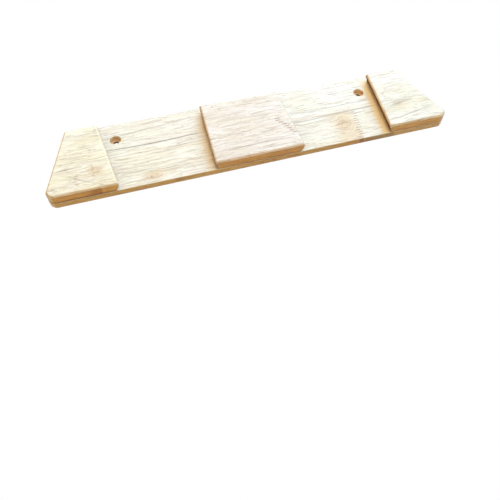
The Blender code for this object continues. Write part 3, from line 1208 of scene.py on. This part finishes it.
@dataclass
class WoodScrew:
    """A countersunk wood screw with a cross recess and a coarse thread, in metres."""

    length: float = 0.0155
    diameter: float = 0.0034
    core_diameter: float = 0.0024
    pitch: float = 0.0015
    head_diameter: float = 0.0064
    head_rim: float = 0.0004
    rim_easing: float = 0.0001
    shank_length: float = 0.001
    point_length: float = 0.003
    point_share: float = 0.12
    sunk: float = 0.0003
    clearance: float = 0.0003
    recess_span: float = 0.0036
    recess_slot: float = 0.0008
    recess_depth: float = 0.0012
    rings_per_turn: int = 8

    @property
    def levels(self) -> tuple[float, float, float, float]:
        """The y of the head's flat, of the foot of its rim, of its neck, and of the tip."""
        head, seat = -self.sunk, -self.sunk - self.head_rim
        return head, seat, seat - (self.head_diameter - self.diameter) / 2, head - self.length

    def hole(self, place: Vector) -> Shape:
        """Make the cutter for its countersunk hole.

        Args:
            place: The screw's place on the board's back.

        Returns:
            The cutter.
        """
        _, seat, neck, tip = self.levels
        radius = self.diameter / 2 + self.clearance
        rim = self.head_diameter / 2 + self.clearance
        cutter = lathe([
            (0.0, tip - self.clearance), (radius, tip + self.point_length), (radius, neck), (rim, seat),
            (rim, OVERSHOOT), (0.0, OVERSHOOT)], SCREW_HOLE_SIDES)
        bmesh.ops.translate(cutter, verts=cutter.verts, vec=place)
        return cutter

    def thread_radius(self, depth: float, turn: float) -> float:
        """Work out the radius of the thread, which runs out at both of its ends.

        Args:
            depth: The y of the place.
            turn: How far round it is, as a share of a full turn.

        Returns:
            The radius.
        """
        _, _, neck, tip = self.levels
        core, crest = self.core_diameter / 2, self.diameter / 2
        taper = min(1.0, max(0.0, (depth - tip) / self.point_length))
        fade = min(1.0, (neck - self.shank_length - depth) / self.pitch)
        # a tooth takes up half of the pitch
        phase = (depth / self.pitch + turn) % 1.0
        tooth = max(0.0, 1.0 - abs(phase - 0.5) * 4.0) * fade
        return (core + (crest - core) * tooth) * (self.point_share + (1 - self.point_share) * taper)

    def body(self) -> Shape:
        """Make the screw with its head behind and its thread running out at the point.

        Returns:
            The screw.
        """
        head, seat, neck, tip = self.levels
        thread_end = neck - self.shank_length
        crest, rim = self.diameter / 2, self.head_diameter / 2
        rows = int((thread_end - tip) / self.pitch * self.rings_per_turn)
        turns = [index / SCREW_SIDES for index in range(SCREW_SIDES)]
        shape = bmesh.new()
        rings = []
        for row in range(rows + 1):
            depth = tip + (thread_end - tip) * row / rows
            rings.append(ring_about_y(shape, depth, [self.thread_radius(depth, turn) for turn in turns]))
        # the plain shank is rolled thinner than the thread, and swells into the head
        for radius, depth in ((crest * 0.8, neck - 0.6 * MM), (crest * 0.85, neck), (rim, seat),
                              (rim, head - self.rim_easing), (rim - self.rim_easing, head)):
            rings.append(ring_about_y(shape, depth, [radius] * SCREW_SIDES))
        skin(shape, rings)
        return shape

    def recess(self) -> Shape:
        """Make the cutter for the cross recess, which tapers towards its bottom.

        Returns:
            The cutter.
        """
        cross = bmesh.new()
        bottom = -self.sunk - self.recess_depth
        rings = []
        for depth, span, slot in ((OVERSHOOT / 2, self.recess_span, self.recess_slot),
                                  (bottom, 0.55 * self.recess_span, 0.8 * self.recess_slot)):
            arm = [(span / 2, -slot / 2), (span / 2, slot / 2), (slot / 2, slot / 2)]
            ring = []
            for _ in range(4):
                ring += [cross.verts.new((x, depth, z)) for x, z in arm]
                arm = [(-z, x) for x, z in arm]
            rings.append(ring)
        skin(cross, rings)
        return cross

    def build(self, node: str, place: Vector, turn: float, material: bpy.types.Material) -> None:
        """Build one screw.

        Args:
            node: The CAD node that it stands for.
            place: Its place on the board's back.
            turn: How far it was turned when it came to rest.
            material: Its metal.
        """
        shape, cross = self.body(), self.recess()
        turned = Matrix.Rotation(turn, 3, "Y")
        for part in (shape, cross):
            bmesh.ops.rotate(part, verts=part.verts, cent=(0.0, 0.0, 0.0), matrix=turned)
            bmesh.ops.translate(part, verts=part.verts, vec=place)
        Piece(node + "_fine", shape, material, "screw_steel", node, [cross]).finish()


@dataclass
class BackBoard:
    """The trapezoid board, with its two counterbored wall holes and its six screw holes."""

    rack: Rack
    front_rounding: float = 0.0007
    back_rounding: float = 0.0014
    hole_diameter: float = 0.0062
    counterbore_diameter: float = 0.0128
    counterbore_depth: float = 0.005
    mouth_rounding: float = 0.0003
    bore_easing: float = 0.00025

    def wall_hole(self) -> Profile:
        """Draw the wall hole: a softened mouth, a flat floor with the bit's ring, and a bore.

        Returns:
            The profile of its cutter.
        """
        front, ease, soft = self.rack.board_front, self.bore_easing, self.mouth_rounding
        rim, bore = self.counterbore_diameter / 2, self.hole_diameter / 2
        floor = front + self.counterbore_depth
        profile = [(0.0, front - OVERSHOOT), (rim + soft, front - OVERSHOOT), (rim + soft, front)]
        profile += arc_profile((rim + soft, front), (rim, front + soft))
        # the bit's outer spur leaves a fine ring in the floor
        profile += [(rim, floor), (rim - 0.2 * MM, floor + 0.15 * MM), (rim - 0.5 * MM, floor),
                    (bore + ease, floor)]
        profile += arc_profile((bore + ease, floor), (bore, floor + ease), 4)
        return profile + [(bore, OVERSHOOT), (0.0, OVERSHOOT)]

    def weight(self, first: Vector, second: Vector) -> float:
        """Weigh an edge: fully round the back, in part round the front.

        Args:
            first: One end of the edge.
            second: Its other end.

        Returns:
            Its share of the rounding.
        """
        for level, rounding in ((0.0, self.back_rounding), (self.rack.board_front, self.front_rounding)):
            if abs(first.y - level) < MERGE and abs(second.y - level) < MERGE:
                return rounding / self.back_rounding
        return 0.0

    def build(self, material: bpy.types.Material, screw: WoodScrew) -> None:
        """Build the board.

        Args:
            material: Its wood.
            screw: The screw whose holes are cut in its back.
        """
        rack = self.rack
        half, top = rack.length / 2, rack.board_end_at(rack.height)
        low, high = rack.lower_edge, rack.lower_edge + rack.height
        outline = rounded_outline([
            Corner(-half, low, rack.lower_corner), Corner(half, low, rack.lower_corner),
            Corner(top, high, rack.upper_corner), Corner(-top, high, rack.upper_corner)])
        piece = Piece("back_board_fine", plate(outline, 0.0, rack.board_front), material,
                      "board_wood", "back_board", rounding=self.back_rounding)
        piece.weigh(self.weight)
        for side in Side:
            hole = lathe(self.wall_hole(), HOLE_SIDES)
            bmesh.ops.translate(hole, verts=hole.verts, vec=(side.value * rack.hole_spacing / 2, 0.0, 0.0))
            piece.cutters.append(hole)
        for rows in rack.screw_places().values():
            piece.cutters += [screw.hole(place) for _, place in rows]
        piece.finish()


@dataclass
class Block:
    """What the three blocks share: a face rounded all round, and slot sides that lean."""

    rack: Rack
    rounding: float = 0.003
    lip_rounding: float = 0.0047
    lip_corner: float = 0.0015
    base_easing: float = 0.00025
    glue_margin: float = 0.0002
    # the glue film stays this far off both faces, so that no two faces lie in one plane
    glue_gap: float = 0.00003

    @property
    def node(self) -> str:
        """The CAD node that the block stands for."""
        raise NotImplementedError

    def weight(self, first: Vector, second: Vector) -> float:
        """Weigh an edge: fully along a lip, less round the face, a little round the base.

        Args:
            first: One end of the edge.
            second: Its other end.

        Returns:
            Its share of the lip's rounding.
        """
        rack = self.rack
        on_front = [abs(place.y - rack.block_front) < MERGE for place in (first, second)]
        on_base = [abs(place.y - rack.block_base) < MERGE for place in (first, second)]
        if all(on_front):
            is_lip = abs(first.z - second.z) > rack.block_height - 10 * MERGE
            return 1.0 if is_lip else self.rounding / self.lip_rounding
        if any(on_front) and any(on_base) and abs(first.x - second.x) > MERGE:
            return self.lip_corner / self.lip_rounding
        if all(on_base):
            return self.base_easing / self.lip_rounding
        return 0.0

    def outline(self, margin: float) -> list[Vector]:
        """Draw the outline before the slot sides are cut, drawn in by a margin."""
        raise NotImplementedError

    def cuts(self, margin: float) -> list[Plane]:
        """Find the planes of the slot sides, drawn in by a margin."""
        raise NotImplementedError

    def sawn(self, margin: float, back: float, front: float) -> Shape:
        """Saw out the block's plan in a plate.

        Args:
            margin: How far it is drawn in all round.
            back: The y of the plate's back.
            front: The y of its front.

        Returns:
            The sawn plate.
        """
        shape = plate(self.outline(margin), back, front)
        for point, normal in self.cuts(margin):
            saw_off(shape, point, normal)
        return shape

    def build(self, wood: bpy.types.Material, glue: bpy.types.Material, screw: WoodScrew, slot: str) -> None:
        """Build the block, and the glue film between it and the board.

        Args:
            wood: The block's wood.
            glue: The dried glue.
            screw: The screw whose holes are cut in both.
            slot: The name of a material slot, which the pieces keep but which nothing uses.
        """
        rack = self.rack
        block = Piece(self.node + "_fine", self.sawn(0.0, rack.block_base, rack.block_front), wood,
                      slot, self.node, rounding=self.lip_rounding)
        block.weigh(self.weight)
        back, front = rack.board_front - self.glue_gap, rack.block_base + self.glue_gap
        film = Piece(self.node + "_glue_line", self.sawn(self.glue_margin, back, front), glue, slot)
        for piece in (block, film):
            piece.cutters += [screw.hole(place) for _, place in rack.screw_places()[self.node]]
            piece.finish()


@dataclass
class EndBlock(Block):
    """A block at one end, flush with the board's slanted end and rounded corners."""

    side: Side = Side.LEFT

    @property
    def node(self) -> str:
        """The CAD node that the block stands for."""
        return f"{self.side.name.lower()}_end_block"

    def outline(self, margin: float) -> list[Vector]:
        """Draw the outline, which follows the board's end and corners.

        Args:
            margin: How far it is drawn in.

        Returns:
            Its points.
        """
        rack, sign = self.rack, self.side.value
        low, high = margin, rack.block_height - margin
        inner = min(rack.end_lip_at(0.0), rack.end_lip_at(rack.block_height)) - OVERSHOOT
        lower, upper = rack.board_end_at(low) - margin, rack.board_end_at(high) - margin
        return rounded_outline([
            Corner(sign * inner, rack.lower_edge + low),
            Corner(sign * lower, rack.lower_edge + low, rack.lower_corner - margin),
            Corner(sign * upper, rack.lower_edge + high, rack.upper_corner - margin),
            Corner(sign * inner, rack.lower_edge + high)])

    def cuts(self, margin: float) -> list[Plane]:
        """Find the plane of its one slot side.

        Args:
            margin: How far it is drawn in.

        Returns:
            The plane.
        """
        rack, sign = self.rack, self.side.value
        lower, upper = rack.end_lip_at(0.0) + margin, rack.end_lip_at(rack.block_height) + margin
        return [rack.slot_cut_plane(sign * lower, sign * upper, -sign)]


@dataclass
class CentreBlock(Block):
    """The block in the middle, with a slot on either side."""

    @property
    def node(self) -> str:
        """The CAD node that the block stands for."""
        return "centre_block"

    def outline(self, margin: float) -> list[Vector]:
        """Draw the outline, a little wider than the block.

        Args:
            margin: How far it is drawn in.

        Returns:
            Its points.
        """
        rack = self.rack
        widest = max(rack.centre_lower_width, rack.centre_upper_width) / 2 + OVERSHOOT
        low, high = rack.lower_edge + margin, rack.lower_edge + rack.block_height - margin
        return rounded_outline([
            Corner(-widest, low), Corner(widest, low), Corner(widest, high), Corner(-widest, high)])

    def cuts(self, margin: float) -> list[Plane]:
        """Find the planes of its two slot sides.

        Args:
            margin: How far they are drawn in.

        Returns:
            The planes.
        """
        rack = self.rack
        lower, upper = rack.centre_lower_width / 2 - margin, rack.centre_upper_width / 2 - margin
        return [rack.slot_cut_plane(side.value * lower, side.value * upper, side.value) for side in Side]


@dataclass(frozen=True)
class Lamp:
    """A round soft lamp: its power in watts, its size and place in metres, and its colour."""

    name: str
    power: float
    size: float
    place: tuple[float, float, float]
    colour: str


@dataclass
class Studio:
    """Floor, light, white surroundings and camera."""

    floor_height: float = -1.9
    floor_size: float = 9.0
    floor_thickness: float = 0.02
    lamps: tuple[Lamp, ...] = (
        Lamp("key_light", 100.0, 1.9, (2.1, -1.78, 3.2), "#BCE1FF"),
        Lamp("front_light", 34.0, 1.5, (0.0, -2.5, 1.0), "#FFE1AE"),
        Lamp("top_light", 54.0, 1.0, (0.3, -0.6, 2.5), "#BCE1FF"),
        Lamp("back_light", 70.0, 2.0, (-1.2, 2.2, 2.0), "#FFF7E6"),
    )
    lamps_aim: tuple[float, float, float] = (0.0, 0.0, -0.02)
    # a cool glow from the right and a warm one from the left, each strongest straight out sideways
    right_glow: tuple[float, str] = (2.44, "#BCE1FF")
    left_glow: tuple[float, str] = (0.86, "#FFDFAA")
    # the camera stands below and to the left of the rack, and looks up at it with a roll
    camera_place: tuple[float, float, float] = (-0.14195, -0.44897, -0.45636)
    camera_forward: tuple[float, float, float] = (0.17872, 0.841904, 0.509173)
    camera_upward: tuple[float, float, float] = (0.234389, -0.539037, 0.809012)
    focal_length: float = 36.993
    sensor_width: float = 36.0

    def floor(self) -> None:
        """Lay a wide round pale floor, well below the rack."""
        shape = bmesh.new()
        bmesh.ops.create_circle(shape, cap_ends=True, segments=FLOOR_SIDES, radius=self.floor_size / 2)
        grown = bmesh.ops.extrude_face_region(shape, geom=shape.faces[:])
        for item in grown["geom"]:
            if isinstance(item, bmesh.types.BMVert):
                item.co.z -= self.floor_thickness
        bmesh.ops.recalc_face_normals(shape, faces=shape.faces)
        mesh = bpy.data.meshes.new("studio_floor")
        shape.to_mesh(mesh)
        shape.free()
        mesh.materials.append(MattPaint().make())
        floor = put_in_scene("studio_floor", mesh)
        floor.location.z = self.floor_height

    def light(self) -> None:
        """Hang the lamps, each aimed at the middle of the rack."""
        for row in self.lamps:
            lamp = bpy.data.lights.new(row.name, "AREA")
            lamp.shape = "DISK"
            lamp.size = row.size
            lamp.energy = row.power
            lamp.color = linear(row.colour)[:3]
            light = put_in_scene(row.name, lamp)
            light.location = row.place
            aim = Vector(self.lamps_aim) - light.location
            light.rotation_euler = aim.to_track_quat("-Z", "Y").to_euler()

    def surroundings(self) -> None:
        """Surround the rack with white to look at, and with light from its right and left."""
        world = bpy.data.worlds.new("white_studio")
        bpy.context.scene.world = world
        world.use_nodes = True
        tree = world.node_tree
        tree.nodes.clear()
        add = partial(add_node, tree)
        across = add(SPLIT, {0: add(COORDINATES).outputs["Generated"]}).outputs["X"]
        glows = []
        for side, (strength, colour) in ((1, self.right_glow), (-1, self.left_glow)):
            share = add(MATH, {0: across, 1: side * strength}, operation="MULTIPLY")
            share = add(MATH, {0: share, 1: 0.0}, operation="MAXIMUM")
            glows.append(add(BACKGROUND, {"Color": linear(colour), "Strength": share}))
        soft = add("ShaderNodeAddShader", {0: glows[0], 1: glows[1]})
        white = add(BACKGROUND, {"Color": (1.0, 1.0, 1.0, 1.0), "Strength": 1.0})
        seen = add("ShaderNodeLightPath").outputs["Is Camera Ray"]
        mixed = add("ShaderNodeMixShader", {0: seen, 1: soft, 2: white})
        add("ShaderNodeOutputWorld", {"Surface": mixed})

    def camera(self) -> None:
        """Set up the camera at the photograph's viewing angle."""
        lens = bpy.data.cameras.new("camera")
        lens.sensor_fit = "HORIZONTAL"
        lens.sensor_width = self.sensor_width
        lens.lens = self.focal_length
        lens.clip_start = 0.02
        lens.clip_end = 50.0
        forward = Vector(self.camera_forward).normalized()
        right = forward.cross(Vector(self.camera_upward)).normalized()
        place = Matrix((right, right.cross(forward), -forward)).transposed().to_4x4()
        place.translation = self.camera_place
        camera = put_in_scene("camera", lens)
        camera.matrix_world = place
        bpy.context.scene.camera = camera

    def build(self) -> None:
        """Set up everything round the rack."""
        self.floor()
        self.light()
        self.surroundings()
        self.camera()
        bpy.context.scene.view_settings.view_transform = "Standard"


BOARD_WOOD = Rubberwood(
    "rubberwood_board_sanded_satin_lacquer",
    pale="#F5EFE4",
    clouds=Figure(70.0, 17.0, 0.35, 0.68, "#F1E8D2", 1.0),
    # painted shade on the board's lower sides
    side="#E0BE80",
    rows=(49.0,),
    # painted shadows to the left of the right block and, fainter, to the left of the centre block
    painted_shadows=(PaintedShadow(159.75, 170.0, 0.8), PaintedShadow(-55.25, -50.5, 0.3)),
    holes=((-155.0, 76.0), (155.0, 76.0)),
    joints=(
        FingerJoint(131.0, 0.0, 49.0, 0.55, lean=0.17), FingerJoint(-24.0, 49.0, 110.0),
        FingerJoint(206.0, 49.0, 110.0)),
    knots=(
        Knot(115.0, 27.0, 8.0, 11.0, 0.35, arches=0.35, arch_spacing=4.2),
        Knot(86.0, 21.0, 8.0, 6.0, 0.15), Knot(-122.0, 11.0, 9.0, 6.0, 0.6, arches=0.25)),
    streaks=(
        Streak(-168.0, -55.0, 61.0, 0.9, 0.75), Streak(-172.0, -68.0, 84.0, 1.1, 0.35, 0.1),
        Streak(52.0, 165.0, 47.5, 1.0, 0.45, 0.03), Streak(60.0, 165.0, 61.0, 1.3, 0.30),
        Streak(55.0, 108.0, 41.0, 1.0, 0.25, 0.15)),
    tints=(
        Tint(100.0, 130.0, -1.0, 49.0, "#F6DCB4", 0.5, 0.5),
        Tint(131.0, 170.0, -1.0, 49.0, "#C9CBCF", 0.0, 0.8, fade=0.5)),
)

LEFT_BLOCK_WOOD = Rubberwood(
    "rubberwood_left_block_sanded_satin_lacquer",
    pale="#F6EEDC",
    clouds=Figure(70.0, 17.0, 0.35, 0.68, "#F1E6C9", 1.0),
    strands=Figure(34.0, 1.5, 0.53, 0.62, "#AF9074", 0.30),
    lines=Figure(90.0, 1.3, 0.63, 0.71, "#8A7058", 0.32),
    seed=11.0,
    glue_stain=0.85,
    knots=(Knot(-184.0, 26.0, 6.5, 5.5, 0.38, arches=0.2),),
    joints=(FingerJoint(-205.0, 8.0, 24.0, 0.5, dash=4.0), FingerJoint(-186.0, 18.0, 34.0, 0.4, dash=3.0)),
    streaks=(Streak(-225.0, -206.0, 35.5, 1.0, 0.6), Streak(-218.0, -178.0, 15.0, 1.2, 0.3, -0.6)),
    tints=(Tint(-194.0, -180.0, -1.0, 4.0, "#B8864E", 0.0, 0.5, fade=9.0),),
)

CENTRE_BLOCK_WOOD = Rubberwood(
    "rubberwood_centre_block_sanded_satin_lacquer",
    pale="#F0E4DD",
    clouds=Figure(70.0, 17.0, 0.35, 0.68, "#EBDCCC", 1.0),
    seed=23.0,
    glue_stain=0.4,
    joints=(FingerJoint(41.0, 21.0, 51.0, 0.8, lean=-0.5),),
    streaks=(Streak(-38.0, 40.0, 16.5, 1.0, 0.35), Streak(-30.0, 30.0, 60.0, 1.0, 0.2)),
)

RIGHT_BLOCK_WOOD = Rubberwood(
    "rubberwood_right_block_sanded_satin_lacquer",
    seed=37.0,
    glue_stain=0.35,
    knots=(Knot(189.0, 33.0, 8.0, 6.0, 0.25),),
    joints=(FingerJoint(176.0, 40.0, 60.0, 0.3, dash=3.0),),
    streaks=(
        Streak(178.0, 200.0, 33.5, 1.2, 0.5, 0.15), Streak(176.0, 200.0, 34.0, 4.0, 0.25, 0.2),
        Streak(168.0, 230.0, 16.0, 1.1, 0.35, 0.15),
        Streak(170.0, 225.0, 40.0, 1.0, 0.2)),
)


def main() -> None:
    """Build the rack's pieces in order, then the studio."""
    rack = Rack()
    screw = WoodScrew()
    steel = ZincPlatedSteel().make()
    glue = DriedWoodGlue().make()
    BackBoard(rack).build(BOARD_WOOD.make(rack.lower_edge), screw)
    for block, wood, slot in (
            (EndBlock(rack, side=Side.LEFT), LEFT_BLOCK_WOOD, "end_block_wood"),
            (CentreBlock(rack), CENTRE_BLOCK_WOOD, "centre_block_wood"),
            (EndBlock(rack, side=Side.RIGHT), RIGHT_BLOCK_WOOD, "end_block_wood")):
        block.build(wood.make(rack.lower_edge), glue, screw, slot)
    for rows in rack.screw_places().values():
        for index, (node, place) in enumerate(rows):
            # two screws of a block don't come to rest at the same angle
            turn = 0.4 + 0.9 * index
            screw.build(node, place, turn, steel)
    Studio().build()


if __name__ == "__main__":
    main()
